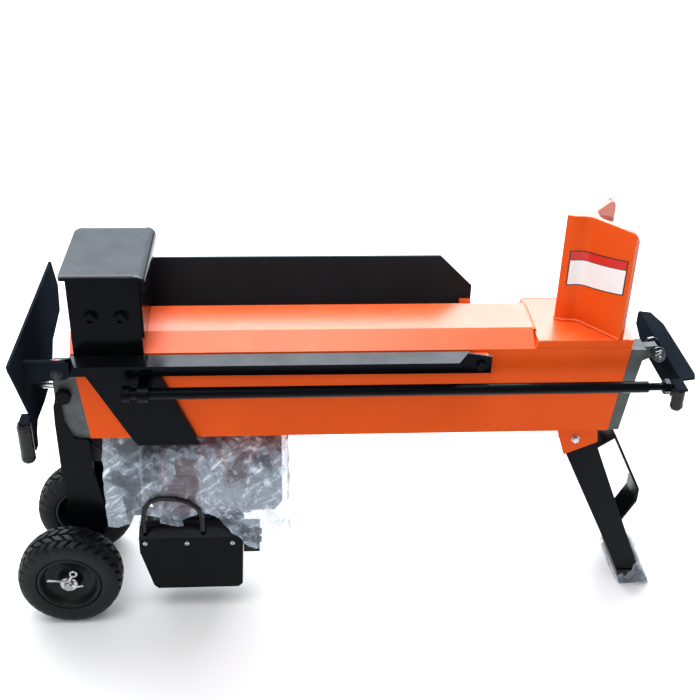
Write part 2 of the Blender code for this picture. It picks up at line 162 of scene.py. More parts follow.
def enamel(name, base, dark, dust, rough, tint=(1, 1, 1), level=0.5, dust_and_sheen_top=0.1, polish=0.0):
    """Sprayed enamel: orange peel, slow colour drift, fine scratches, dust specks, and a patchy lightening of
    upward faces toward the dust colour, which is painted sheen.

    polish adds a soft clear gloss on upward faces."""
    m, t, b = new_mat(name)
    v = coords(t)
    drift = noise_tex(t, v, 7.0, 3.0)
    col = mix(t, remap(t, drift, 0.3, 0.7, 0.0, 1.0), base, dark)
    soft = remap(t, noise_tex(t, v, 26.0, 6.0, 0.65, 0.4), 0.45, 0.8, 0.0, 1.0)
    # Upward faces lightened in patches toward the dust colour: painted sheen in the colour of the reflected
    # sky; the grit below adds real dust specks anywhere.
    dust_and_sheen = math(t, "MULTIPLY", math(t, "MULTIPLY", up_facing(t), soft), dust_and_sheen_top)
    grit = remap(t, noise_tex(t, v, 900.0, 2.0, 0.5), 0.66, 0.74, 0.0, 0.5)
    dust_and_sheen = math(t, "MAXIMUM", dust_and_sheen, math(t, "MULTIPLY", grit, dust_and_sheen_top))
    col = mix(t, dust_and_sheen, col, dust)
    t.links.new(col, b.inputs["Base Color"])
    scratch = remap(t, noise_tex(t, coords(t, (6, 90, 90)), 9.0, 6.0, 0.75, 1.2), 0.62, 0.7, 0.0, 0.12)
    r = remap(t, noise_tex(t, v, 40.0, 5.0, 0.6), 0.3, 0.7, rough[0], rough[1])
    r = math(t, "ADD", math(t, "ADD", r, scratch), math(t, "MULTIPLY", dust_and_sheen, 0.5))
    t.links.new(r, b.inputs["Roughness"])
    n1 = bump(t, noise_tex(t, v, 650.0, 2.0, 0.5), 0.05, 0.0003)
    n2 = bump(t, noise_tex(t, v, 45.0, 2.0), 0.05, 0.0015, n1)
    t.links.new(n2, b.inputs["Normal"])
    b.inputs["Specular IOR Level"].default_value = level
    b.inputs["Specular Tint"].default_value = (*tint, 1.0)
    if polish:
        t.links.new(math(t, "MULTIPLY", up_facing(t, 0.25, 0.8), polish), b.inputs["Coat Weight"])
        b.inputs["Coat Roughness"].default_value = 0.38
    return m


def metal(name, base, dark, rough=(0.25, 0.45), strength=0.1, scale=250.0):
    m, t, b = new_mat(name)
    g = noise_tex(t, coords(t), scale, 6.0, 0.65)
    blot = noise_tex(t, coords(t), 30.0, 5.0)
    t.links.new(mix(t, remap(t, blot, 0.3, 0.75, 0.0, 1.0), base, dark), b.inputs["Base Color"])
    t.links.new(remap(t, g, 0.3, 0.7, rough[0], rough[1]), b.inputs["Roughness"])
    t.links.new(bump(t, g, strength, 0.0005), b.inputs["Normal"])
    b.inputs["Metallic"].default_value = 1.0
    return m


def cast(name, base, dark):
    m, t, b = new_mat(name)
    v = coords(t)
    pits = noise_tex(t, v, 520.0, 5.0, 0.7)
    lumps = noise_tex(t, v, 70.0, 3.0)
    t.links.new(mix(t, remap(t, lumps, 0.3, 0.7, 0.0, 1.0), base, dark), b.inputs["Base Color"])
    t.links.new(remap(t, pits, 0.3, 0.7, 0.42, 0.66), b.inputs["Roughness"])
    t.links.new(bump(t, pits, 0.25, 0.0006, bump(t, lumps, 0.2, 0.0015)), b.inputs["Normal"])
    b.inputs["Metallic"].default_value = 0.2
    return m


def rubber(name, base, dust, rough, level, dust_amount=0.35):
    m, t, b = new_mat(name)
    v = coords(t)
    fine = noise_tex(t, v, 600.0, 4.0, 0.6)
    patch = remap(t, noise_tex(t, v, 45.0, 5.0, 0.6), 0.48, 0.8, 0.0, dust_amount)
    t.links.new(mix(t, patch, base, dust), b.inputs["Base Color"])
    t.links.new(remap(t, fine, 0.3, 0.7, rough[0], rough[1]), b.inputs["Roughness"])
    t.links.new(bump(t, fine, 0.15, 0.0004), b.inputs["Normal"])
    b.inputs["Specular IOR Level"].default_value = level
    return m


def plastic(name, base, light, rough=(0.35, 0.5), strength=0.12, level=0.4):
    m, t, b = new_mat(name)
    v = coords(t)
    fine = noise_tex(t, v, 900.0, 2.0, 0.5)
    drift = remap(t, noise_tex(t, v, 25.0, 4.0), 0.4, 0.8, 0.0, 0.5)
    t.links.new(mix(t, drift, base, light), b.inputs["Base Color"])
    t.links.new(remap(t, fine, 0.3, 0.7, rough[0], rough[1]), b.inputs["Roughness"])
    t.links.new(bump(t, fine, strength, 0.0003), b.inputs["Normal"])
    b.inputs["Specular IOR Level"].default_value = level
    return m


def highlight_streaks(tree, turn, draw, scale, low, high):
    """Soft streaks for painted highlights on the folds: the high parts of a noise drawn out in one direction.
    """
    tc = tree.nodes.new("ShaderNodeTexCoord")
    mp = tree.nodes.new("ShaderNodeMapping")
    mp.vector_type = "TEXTURE"
    mp.inputs["Rotation"].default_value = turn
    mp.inputs["Scale"].default_value = (1, 1, draw)
    tree.links.new(tc.outputs["Object"], mp.inputs["Vector"])
    return remap(tree, noise_tex(tree, mp.outputs["Vector"], scale, 3.0, 0.5, 0.5), low, high, 0.0, 1.0)


def polythene(name, clear, hazy, highlight_alpha):
    """Thin film: clear in places, hazy where it lies doubled, with long streaks of painted highlight along
    the folds, whiter and more opaque, that also give the folds their bump.
    """
    m, t, b = new_mat(name)
    v = coords(t)
    haze = remap(t, noise_tex(t, v, 13.0, 4.0, 0.6, 0.8), 0.38, 0.62, 0.0, 1.0)
    long = highlight_streaks(t, (0.0, 0.72, 0.0), 9.0, 85.0, 0.52, 0.7)
    short = highlight_streaks(t, (0.2, -0.3, 0.1), 6.0, 110.0, 0.55, 0.72)
    fine = highlight_streaks(t, (0.0, 1.15, 0.2), 8.0, 170.0, 0.53, 0.7)
    line = math(t, "MAXIMUM", long, math(t, "MAXIMUM", math(t, "MULTIPLY", short, 0.75),
                                         math(t, "MULTIPLY", fine, 0.6)))
    line = math(t, "MULTIPLY", line, remap(t, haze, 0.0, 1.0, 0.25, 1.0))
    # Along the streaks the film is made more opaque and a lighter bluish white: painted highlights on the
    # folds.
    alpha = math(t, "ADD", remap(t, haze, 0.0, 1.0, clear, hazy), math(t, "MULTIPLY", line, highlight_alpha))
    t.links.new(alpha, b.inputs["Alpha"])
    t.links.new(mix(t, line, (0.52, 0.62, 0.74), (0.86, 0.93, 1.0)), b.inputs["Base Color"])
    t.links.new(remap(t, haze, 0.0, 1.0, 0.1, 0.24), b.inputs["Roughness"])
    fold = noise_tex(t, v, 38.0, 3.0, 0.55, 0.8)
    t.links.new(bump(t, line, 0.5, 0.002, bump(t, fold, 0.7, 0.008)), b.inputs["Normal"])
    b.inputs["Specular IOR Level"].default_value = 1.0
    return m


MAT = {
    "orange_enamel": enamel("orange_paint", (0.78, 0.092, 0.011), (0.72, 0.08, 0.009), (0.9, 0.42, 0.24),
                            rough=(0.17, 0.26), tint=(0.5, 0.16, 0.08), polish=1.0),
    "black_enamel": enamel("black_paint", (0.0024, 0.0028, 0.0036), (0.0018, 0.002, 0.0026),
                           (0.03, 0.05, 0.075), rough=(0.16, 0.26), tint=(0.1, 0.12, 0.15), level=0.4,
                           dust_and_sheen_top=0.03),
    "grey_casting": cast("grey_cast", (0.085, 0.098, 0.095), (0.06, 0.07, 0.068)),
    "dark_casting": cast("dark_cast", (0.022, 0.023, 0.025), (0.014, 0.015, 0.016)),
    "bare_steel": metal("turned_steel", (0.42, 0.42, 0.43), (0.3, 0.29, 0.28), strength=0.08),
    "hard_chrome": metal("plated_rod", (0.68, 0.69, 0.71), (0.6, 0.6, 0.62), rough=(0.08, 0.16),
                         strength=0.02, scale=500.0),
    "tyre_rubber": rubber("tyre", (0.005, 0.0053, 0.006), (0.016, 0.016, 0.016), (0.4, 0.62), 0.22),
    "grip_rubber": rubber("grip", (0.005, 0.005, 0.0055), (0.014, 0.014, 0.014), (0.2, 0.3), 0.3,
                          dust_amount=0.15),
    "black_plastic": plastic("black_moulding", (0.0045, 0.0047, 0.005), (0.009, 0.009, 0.0095), level=0.22),
    "motor_paint": enamel("motor_paint", (0.13, 0.013, 0.014), (0.09, 0.01, 0.011), (0.2, 0.12, 0.11),
                          rough=(0.28, 0.42)),
    "green_button": plastic("start_green", (0.03, 0.32, 0.08), (0.06, 0.42, 0.14), (0.25, 0.35), 0.04),
    "red_button": plastic("stop_red", (0.55, 0.02, 0.015), (0.65, 0.06, 0.04), (0.25, 0.35), 0.04),
    "nylon": plastic("pad_nylon", (0.62, 0.6, 0.55), (0.5, 0.48, 0.43)),
    "clear_film": polythene("clear_film", 0.16, 0.54, 0.5),
}
PANEL_WHITE = plastic("label_white", (0.84, 0.84, 0.83), (0.78, 0.78, 0.77), (0.25, 0.35), 0.03)
PANEL_RED = plastic("label_red", (0.62, 0.02, 0.015), (0.52, 0.02, 0.015), (0.25, 0.35), 0.03)
PANEL_EDGE = plastic("label_edge", (0.02, 0.02, 0.02), (0.04, 0.04, 0.04), (0.25, 0.35), 0.03)
# A copy of the black paint for the two levers with no reflection at all and a flat, lighter bluish base:
# painted light standing in for the gloss of the same paint.
LEVER_BLACK_PAINTED_LIGHT = enamel("black_paint_lever_painted_light", (0.012, 0.016, 0.022), (0.008, 0.011, 0.015), (0.03, 0.035, 0.04),
                    rough=(0.4, 0.55), level=0.0, dust_and_sheen_top=0.03)
# A copy of the black paint for the far guard alone, with a bluish base, bluish top colour and blue-tinted
# reflection: the sky's reflection on that guard painted in.
FAR_GUARD_BLACK_PAINTED_SKY = enamel("black_paint_far_painted_sky", (0.01, 0.017, 0.022), (0.007, 0.012, 0.016), (0.04, 0.055, 0.07),
                     rough=(0.3, 0.42), tint=(0.26, 0.5, 0.58), level=0.3, dust_and_sheen_top=0.03)
ZINC = metal("zinc_plate", (0.62, 0.63, 0.65), (0.46, 0.47, 0.49), rough=(0.2, 0.36))
OILED = metal("oiled_steel", (0.2, 0.21, 0.22), (0.1, 0.105, 0.11), rough=(0.22, 0.4))

SLOT_OF = {row["node"]: row["material_slot"] for row in frame["record"]["subparts"]}
for name, obj in NODES.items():
    if not obj.material_slots:
        obj.data.materials.append(None)
    for socket in obj.material_slots:
        socket.material = MAT[SLOT_OF[name]]
# The levers take the copy with painted light in place of gloss; the far guard takes the copy with the sky's
# reflection painted in.
for name, paint in (("left_lever", LEVER_BLACK_PAINTED_LIGHT), ("right_lever", LEVER_BLACK_PAINTED_LIGHT), ("far_guard", FAR_GUARD_BLACK_PAINTED_SKY)):
    NODES[name].material_slots[0].material = paint


# ---- mesh helpers --------------------------------------------------------------------------------
def piece(name, verts, faces, mat, body, mats=None, face_mats=None, sharp=30):
    """A mesh from points in the beam's own frame; faces turned outward, smooth except at real edges."""
    me = bpy.data.meshes.new(name)
    me.from_pydata([P(*v) for v in verts], [], faces)
    bm = bmesh.new()
    bm.from_mesh(me)
    bmesh.ops.recalc_face_normals(bm, faces=bm.faces)
    bm.to_mesh(me)
    bm.free()
    for k in mats or [MAT[mat] if isinstance(mat, str) else mat]:
        me.materials.append(k)
    for f in me.polygons:
        f.use_smooth = True
        if face_mats:
            f.material_index = face_mats[f.index]
    me.set_sharp_from_angle(angle=radians(sharp))
    obj = bpy.data.objects.new(name, me)
    bpy.context.scene.collection.objects.link(obj)
    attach(obj, body)
    return obj


def on_axis(axis, centre, along, r, a):
    """A point of a turned shape: distance along its axis, radius and angle."""
    x, y, z = centre
    if axis == "X":
        return (along, y + r * cos(a), z + r * sin(a))
    if axis == "Y":
        return (x + r * cos(a), along, z + r * sin(a))
    return (x + r * cos(a), y + r * sin(a), along)


def turned(profile, axis, centre, seg=40, closed=False, turn=0.0):
    """A profile of (along, radius) points turned about an axis; closed joins its last point to its first."""
    verts = [on_axis(axis, centre, a, r, turn + 2 * pi * k / seg) for a, r in profile for k in range(seg)]
    rows = len(profile)
    faces = []
    for i in range(rows if closed else rows - 1):
        j = (i + 1) % rows
        for k in range(seg):
            m = (k + 1) % seg
            faces.append((i * seg + k, i * seg + m, j * seg + m, j * seg + k))
    if not closed:
        faces.append(tuple(range(seg)))
        faces.append(tuple((rows - 1) * seg + k for k in range(seg)))
    return verts, faces


def join(*parts):
    """Several (points, faces) pairs as one."""
    verts, faces = [], []
    for v, f in parts:
        n = len(verts)
        verts += v
        faces += [tuple(i + n for i in q) for q in f]
    return verts, faces


def tube(path, radius, seg=12, lump=0.0):
    """A round bar along a path of points; lump gives a weld bead's ripples."""
    pts = [Vector(p) for p in path]
    verts, faces = [], []
    for i, p in enumerate(pts):
        t = (pts[min(i + 1, len(pts) - 1)] - pts[max(i - 1, 0)]).normalized()
        u = t.cross(Vector((0.13, 0.31, 0.94))).normalized()
        w = t.cross(u)
        r = radius * (1 + lump * sin(i * 1.9) + lump * noise.noise(p * 0.3))
        for k in range(seg):
            a = 2 * pi * k / seg
            verts.append(tuple(p + u * r * cos(a) + w * r * sin(a)))
    for i in range(len(pts) - 1):
        for k in range(seg):
            m = (k + 1) % seg
            faces.append((i * seg + k, i * seg + m, (i + 1) * seg + m, (i + 1) * seg + k))
    faces.append(tuple(range(seg)))
    faces.append(tuple((len(pts) - 1) * seg + k for k in range(seg)))
    return verts, faces


def grid(rows, columns, start=0):
    """Faces of a sheet of points laid out row by row."""
    return [(k, k + 1, k + columns + 1, k + columns)
            for k in [start + i * columns + j for i in range(rows - 1) for j in range(columns - 1)]]


def grid_rim(rows, columns):
    """The outline of such a sheet, once round."""
    rim = [i * columns for i in range(rows)] + [(rows - 1) * columns + j for j in range(1, columns)]
    rim += [i * columns + columns - 1 for i in range(rows - 2, -1, -1)]
    return rim + list(range(columns - 2, 0, -1))


def spread(points, step):
    """The same line of points, evenly filled in."""
    out = []
    for a, b in zip(points, points[1:]):
        a, b = Vector(a), Vector(b)
        n = max(1, int((b - a).length / step))
        out += [tuple(a.lerp(b, i / n)) for i in range(n)]
    return out + [tuple(points[-1])]


def crisp(obj, width, angle=32):
    """Real plate edges: coplanar facets joined, then a small radius on every sharp edge."""
    d = obj.modifiers.new("flat", "DECIMATE")
    d.decimate_type = "DISSOLVE"
    d.angle_limit = radians(0.6)
    b = obj.modifiers.new("radius", "BEVEL")
    b.width = width * MM
    b.segments = 2
    b.limit_method = "ANGLE"
    b.angle_limit = radians(angle)
    b.harden_normals = True


EDGE_RADII = {
    1.6: "beam_tube",
    1.0: "beam_base_plate end_casting_left end_casting_right oil_manifold pump_body",
    0.7: "wedge_filler near_guard far_guard side_plate_near side_plate_far saddle_plate rod_lug left_lever "
         "right_lever left_leg right_leg leg_ear_bracket ear_near_left ear_near_right ear_far_left "
         "ear_far_right leg_handle box_lid",
    1.4: "push_block switch_box button_housing foot_pad slide_pad",
}
for width, names in EDGE_RADII.items():
    for name in names.split():
        crisp(NODES[name], width)


# ---- wedge: blade and wings with rolled bends and rounded top corners ----------------------------
def rolled(points, radius):
    """A plan line whose inner corners are rolled to a radius."""
    steps = 8
    out = [Vector(points[0])]
    for a, b, c in zip(points, points[1:], points[2:]):
        a, b, c = Vector(a), Vector(b), Vector(c)
        back, on = (a - b), (c - b)
        half = back.angle(on) / 2
        reach = min(radius / max(0.05, abs(sin(half)) / cos(half)), back.length * 0.48, on.length * 0.48)
        p, q = b + back.normalized() * reach, b + on.normalized() * reach
        out += [p.lerp(b, t).lerp(b.lerp(q, t), t) for t in [i / steps for i in range(steps + 1)]]
    return out + [Vector(points[-1])]


def at_share(line, share):
    """The point and the outward direction at a share of a plan line's length."""
    lengths = [(b - a).length for a, b in zip(line, line[1:])]
    left = share * sum(lengths)
    for a, b, n in zip(line, line[1:], lengths):
        if left <= n or b is line[-1]:
            d = (b - a).normalized()
            return a.lerp(b, left / n), Vector((d.y, -d.x))
        left -= n


NEAR_FACE = rolled([(620, BEAM_MID), (630, 53.5), (648, 53.5), (692, -1)], 30)
INNER_FACE = rolled([(661, BEAM_MID), (661, 49), (699, 5)], 12)
WEDGE_TOP, WEDGE_FOOT = 287, 139.3
TOP_CORNER = 14


def wedge_solid():
    """Two mirrored plates, each between the outer and the inner plan line."""
    verts, faces = [], []
    n = 60
    for side in (1, -1):
        for i in range(n + 1):
            for line in (NEAR_FACE, INNER_FACE):
                p, _ = at_share(line, i / n)
                drop = max(0.0, (p.x - 685.0) / TOP_CORNER)
                top = WEDGE_TOP - TOP_CORNER * (1 - sqrt(max(0.0, 1 - min(1.0, drop) ** 2)))
                y = p.y if side == 1 else BEAM_WIDTH - p.y
                verts += [(p.x, y, WEDGE_FOOT), (p.x, y, top)]
    for base in (0, 4 * (n + 1)):
        for i in range(n):
            a, b = base + 4 * i, base + 4 * i + 4
            faces += [(a, b, b + 1, a + 1), (a + 2, b + 2, b + 3, a + 3)]
            faces += [(a, b, b + 2, a + 2), (a + 1, b + 1, b + 3, a + 3)]
        end = base + 4 * n
        faces.append((end, end + 1, end + 3, end + 2))
    return verts, faces


blade = piece("wedge_plates", *wedge_solid(), "orange_enamel", "frame", sharp=40)
weld = bmesh.new()
weld.from_mesh(blade.data)
bmesh.ops.remove_doubles(weld, verts=weld.verts, dist=0.00001)
bmesh.ops.recalc_face_normals(weld, faces=weld.faces)
weld.to_mesh(blade.data)
weld.free()
crisp(blade, 1.0, angle=40)
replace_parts(blade, "wedge")


# ---- pusher cap: one bent plate with rounded corners --------------------------------------------
def bent_cap():
    """A flat 5 mm blank with its right edge rolled down."""
    left, bend_x, top, r = -1.0, 91.0, 240.0, 11.0
    near, far, drop = -12.0, 132.0, 8.0
    arc = r * pi / 2
    length = bend_x - left + arc + drop
    across = [near + (far - near) * i / 48 for i in range(49)]
    along = [length * i / 56 for i in range(57)]

    def cut(y, s):
        """Pulls the blank's left corners in to a radius."""
        k, lo = (14.0, far - y) if y > BEAM_MID else (4.0, y - near)
        if s < k and lo < k:
            dx, dy = k - s, k - lo
            d = sqrt(dx * dx + dy * dy)
            m = max(dx, dy)
            if d > 0:
                dx, dy = dx * m / d, dy * m / d
            s = k - dx
            y = far - (k - dy) if y > BEAM_MID else near + (k - dy)
        return y, s

    verts = []
    for inner in (0.0, 5.0):
        for y0 in across:
            for s0 in along:
                y, s = cut(y0, s0)
                q = s - (bend_x - left)
                if q <= 0:
                    x, z = left + s, top - inner
                elif q < arc:
                    a = q / r
                    x, z = bend_x + (r - inner) * sin(a), top - r + (r - inner) * cos(a)
                else:
                    x, z = bend_x + r - inner, top - r - (q - arc)
                edge = min(y - near, far - y)
                sag = 1.1 * max(0.0, 1 - edge / 2.2) ** 2 if inner == 0 else 0
                if q <= 0:
                    z -= sag
                else:
                    x -= sag
                verts.append((x, y, z))
    nu, nv = len(along), len(across)
    faces = grid(nv, nu) + grid(nv, nu, nu * nv)
    rim = grid_rim(nv, nu)
    for a, b in zip(rim, rim[1:] + rim[:1]):
        faces.append((a, b, b + nu * nv, a + nu * nv))
    return verts, faces


cap = piece("pusher_cap_plate", *bent_cap(), "black_enamel", "ram", sharp=38)
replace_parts(cap, "pusher_cap")


# ---- fasteners -----------------------------------------------------------------------------------
def hex_nut(axis, centre, lo, hi, across, turn=0.2):
    """A six-sided nut or head with chamfered corners."""
    c = (hi - lo) * 0.14
    r = across / 2 / cos(pi / 6)
    return turned([(lo, r * 0.9), (lo + c, r), (hi - c, r), (hi, r * 0.9)], axis, centre, 6, turn=turn)


def thread(axis, centre, lo, hi, r):
    """A stub of thread with one groove per millimetre."""
    n = max(2, int(abs(hi - lo) * 2))
    prof = [(lo + (hi - lo) * i / n, r - (0.35 if i % 2 else 0.0)) for i in range(n + 1)]
    return turned(prof, axis, centre, 24)


def socket_head(x, z, y_out, r, key):
    """The hexagon socket inside a cap screw, seen from -Y."""
    n, depth = 24, 3.2
    outer = [(x + r * cos(2 * pi * k / n), y_out, z + r * sin(2 * pi * k / n)) for k in range(n)]
    rim = []
    for k in range(n):
        a = 2 * pi * k / n
        w = key / 2 / cos(((a + pi / 6) % (pi / 3)) - pi / 6)
        rim.append((x + w * cos(a), y_out, z + w * sin(a)))
    floor_ring = [(px, y_out + depth, pz) for px, _, pz in rim]
    faces = []
    for k in range(n):
        m = (k + 1) % n
        faces.append((k, m, n + m, n + k))
        faces.append((n + k, n + m, 2 * n + m, 2 * n + k))
    faces.append(tuple(range(2 * n, 3 * n)))
    return outer + rim + floor_ring, faces


def cap_screw(x):
    """A cylinder head on a washer face, with a hexagon socket."""
    profile = [(-5.7, 9.6), (-6.9, 9.8), (-7.2, 9.2), (-7.2, 8.3), (-11.9, 8.2), (-12.5, 7.6)]
    verts, faces = turned(profile, "Y", (x, 0, CAP_SCREW_Z), 40)
    outer_end_open = faces[:-2]
    return join((verts, outer_end_open), socket_head(x, CAP_SCREW_Z, -12.5, 7.6, 7.0))


for tag, x in zip("ab", CAP_SCREW_X):
    bolt = piece("pusher_cap_screw_" + tag, *cap_screw(x), "black_enamel", "ram")
    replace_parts(bolt, "pusher_bolt_" + tag)

far_centres = [(x, 0, CAP_SCREW_Z) for x in CAP_SCREW_X]
far_heads = join(*[hex_nut("Y", c, 123.7, 130.5, 14) for c in far_centres],
                 *[turned([(123.5, 9), (125, 9)], "Y", c, 32) for c in far_centres])
piece("pusher_far_nuts", *far_heads, "black_enamel", "ram", sharp=25)

left_head = join(turned([(-22.4, 7.4), (-23.4, 7.4)], "Y", LEFT_PIVOT, 32),
                 turned([(-23.4, 5.2), (-27.0, 5.2), (-27.9, 4.2), (-28.2, 2.6)], "Y", LEFT_PIVOT, 32))
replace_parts(piece("pivot_left_head", *left_head, "dark_casting", "frame"), "guard_bolt_left")
right_head = join(turned([(-12.3, 7.4), (-13.4, 7.4)], "Y", GUARD_BOLT, 32),
                  turned([(-13.4, 6.0), (-16.8, 6.0), (-17.6, 5.4)], "Y", GUARD_BOLT, 32),
                  turned([(-17.6, 3.0), (-18.3, 2.6)], "Y", GUARD_BOLT, 24))
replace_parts(piece("guard_right_head", *right_head, "black_enamel", "frame"), "guard_bolt_right")

stack = join(turned([(2.3, 9.5), (1.1, 9.5)], "Y", RIGHT_PIVOT, 36), hex_nut("Y", RIGHT_PIVOT, 0.9, -5.2, 13),
             turned([(-5.4, 8.0), (-6.2, 8.0)], "Y", RIGHT_PIVOT, 32),
             hex_nut("Y", RIGHT_PIVOT, -6.4, -10.2, 13, 0.55),
             thread("Y", RIGHT_PIVOT, -10.2, -14.0, 4.0),
             turned([(25.7, 9.5), (26.9, 9.5)], "Y", RIGHT_PIVOT, 36),
             hex_nut("Y", RIGHT_PIVOT, 28.2, 34.0, 13))
piece("pivot_right_nuts", *stack, OILED, "frame", sharp=25)
rod_end = join(hex_nut("X", ROD_AXIS, 748.4, 756.6, 17.5, 0.1), thread("X", ROD_AXIS, 757.1, 762.5, 4.7))
piece("rod_end_nut", *rod_end, "black_enamel", "return_rod", sharp=25)
ear_parts = []
for y0, y1, s in ((11.7, 6.6, 1), (106.3, 111.4, -1)):
    ear_parts.append(hex_nut("Y", EAR_BOLT, y0 - 1.0 * s, y1, 8))
    ear_parts.append(turned([(y0, 5.6), (y0 - 0.9 * s, 5.6)], "Y", EAR_BOLT, 28))
piece("ear_bolts", *join(*ear_parts), ZINC, "frame", sharp=25)
guard_bolts = [hex_nut("Y", (x, 0, z), 130.9, 135.6, 11) for x, z in ((-10, 131), (512, 127))]
piece("guard_far_bolts", *join(*guard_bolts), "black_enamel", "frame", sharp=25)


def lid_screw(x, z):
    """A pan head standing on the lid's front strip."""
    y = -17.6
    return turned([(y, 3.3), (y - 0.7, 3.2), (y - 1.5, 2.3), (y - 1.8, 1.2)], "Y", (x, 0, z), 28)


def recess_shade(x, z, w, h):
    """One dark bar standing in for the shade in a screw head's cross recess: painted shade, not a hollow."""
    front = [(x - w, -19.5, z - h), (x + w, -19.5, z - h), (x + w, -19.5, z + h), (x - w, -19.5, z + h)]
    back = [(px, -18.6, pz) for px, _, pz in front]
    return front + back, [(0, 1, 2, 3), (7, 6, 5, 4), (0, 4, 5, 1), (1, 5, 6, 2), (2, 6, 7, 3), (3, 7, 4, 0)]


piece("lid_screws", *join(*[lid_screw(x, z) for x, z in LID_SCREWS]), ZINC, "frame")
# Dark bars set into the screw heads in place of the cross recesses: painted shade.
cross = [recess_shade(x, z, w, h) for x, z in LID_SCREWS for w, h in ((1.5, 0.35), (0.35, 1.5))]
piece("lid_screw_recess_shade", *join(*cross), "dark_casting", "frame")


# ---- weld beads ----------------------------------------------------------------------------------
def bead(name, points, r):
    """A rippled orange bead along a line of points."""
    piece(name, *tube(spread(points, 1.1), r, 10, 0.16), "orange_enamel", "frame", sharp=60)


def far_side(points):
    """The same line on the far side of the beam."""
    return [(x, BEAM_WIDTH - y, z) for x, y, z in points]


seam = [p + n * 0.6 for p, n in [at_share(NEAR_FACE, 0.02 + 0.97 * i / 24) for i in range(25)]]
foot_seam = [(p.x, p.y, 140.2) for p in seam]
plate_seam = [(589, 1.6, 138.2), (640, 1.6, 138.2), (706, 1.6, 138.2)]
filler_seam = [(663, 48, 280), (678, 30, 270), (693, 12, 261)]
bead("weld_wedge_near", foot_seam, 2.2)
bead("weld_wedge_far", far_side(foot_seam), 2.2)
bead("weld_plate_end", [(587.5, 26, 140.4), (587.5, 59, 140.6), (587.5, 92, 140.4)], 2.6)
bead("weld_plate_near", plate_seam, 1.3)
bead("weld_plate_far", far_side(plate_seam), 1.3)
bead("weld_filler_near", filler_seam, 1.8)
bead("weld_filler_far", far_side(filler_seam), 1.8)
bead("weld_ear", [(634, 11.4, -1.6), (684, 11.4, -1.6)], 1.6)


# ---- plain notice panel on the wedge, with nothing written on it --------------------------------
def panel():
    """A thin sticker that follows the blade, the bend and the wing; red band above a white field."""
    rows = (0.0, 0.03, 0.26, 0.28, 0.97, 1.0)
    columns = [0.0, 0.02] + [0.02 + 0.96 * i / 40 for i in range(1, 41)] + [1.0]
    verts, faces, kinds = [], [], []
    for lift in (0.12, 0.4):
        for c in columns:
            p, n = at_share(NEAR_FACE, 0.1 + 0.84 * c)
            for t in rows:
                verts.append((p.x + n.x * lift, p.y + n.y * lift, 240 + 9 * c * c - (49 - 1.5 * c) * t))
    nr, nc = len(rows), len(columns)
    white, red, edge = 0, 1, 2
    for layer in (0, nr * nc):
        faces += grid(nc, nr, layer)
        for i in range(nc - 1):
            kinds += [edge if i in (0, nc - 2) else kind for kind in (edge, red, edge, white, edge)]
    rim = grid_rim(nc, nr)
    for a, b in zip(rim, rim[1:] + rim[:1]):
        faces.append((a, b, b + nr * nc, a + nr * nc))
        kinds.append(edge)
    return verts, faces, kinds


panel_verts, panel_faces, panel_kinds = panel()
piece("notice_panel", panel_verts, panel_faces, "nylon", "frame", mats=[PANEL_WHITE, PANEL_RED, PANEL_EDGE],
      face_mats=panel_kinds)


# ---- wheels --------------------------------------------------------------------------------------
def treaded(yc):
    """Low-pressure tyre: two rows of slanted blocks, shoulder lugs and a bead."""
    blocks, tread_depth, lug_depth = 30, 3.8, 1.8
    wall = [(-19, 43.6), (-22.4, 45), (-24, 49), (-24.9, 54), (-25, 58), (-24.6, 61), (-23.6, 64),
            (-22, 66.4)]
    prof = list(wall)
    prof += [(a, 71.0 - 4.6 * (abs(a) / 22.0) ** 2.6) for a in range(-21, 22)]
    prof += [(-a, r) for a, r in reversed(wall)]
    seg = 288
    verts = []
    for a, r in prof:
        for k in range(seg):
            t = k / seg
            rr = r
            if abs(a) < 22.0 and r > 66.0:
                row = 0.0 if a < 0 else 0.5
                slant = (t * blocks + row + abs(a) * 0.06) % 1.0
                back = (t * blocks + row - abs(a) * 0.06) % 1.0
                cutting = slant < 0.24 if abs(a) < 11.5 else back < 0.3
                if abs(a) < 1.2 or 11.0 < abs(a) < 12.9 or cutting:
                    rr = r - tread_depth * min(1.0, (22.4 - abs(a)) / 2.5)
            elif 58 <= r <= 66.5 and (t * blocks + (0.0 if a < 0 else 0.5) + 0.1) % 1.0 < 0.3:
                rr = r - lug_depth
            verts.append(on_axis("Y", WHEEL_AXIS, yc + a, rr, 2 * pi * t))
    n = len(prof)
    faces = []
    for i in range(n):
        j = (i + 1) % n
        for k in range(seg):
            m = (k + 1) % seg
            faces.append((i * seg + k, i * seg + m, j * seg + m, j * seg + k))
    return verts, faces


def rim_shape(yc, s):
    """Moulded wheel centre: a rolled lip, a smooth dish with one step, and a hub."""
    dish = [(-19, 43.4), (-21.6, 43.4), (-22.6, 42.2), (-22.8, 40.6), (-21.6, 38.8), (-18.5, 37.4),
            (-13, 35.2), (-11.6, 34.0), (-11.4, 31.5), (-9.5, 27), (-7.5, 22), (-8, 17), (-11, 14.4),
            (-17, 13.2), (-19.3, 12.6), (-20, 11.8), (-20, 6.3), (18, 6.3), (18, 13), (6, 14), (1, 24),
            (-1.6, 35.6), (17, 38.2), (21.6, 40.6), (21, 43.4), (19, 43.4)]
    return turned([(yc + a * s, r) for a, r in dish], "Y", WHEEL_AXIS, 72, closed=True)


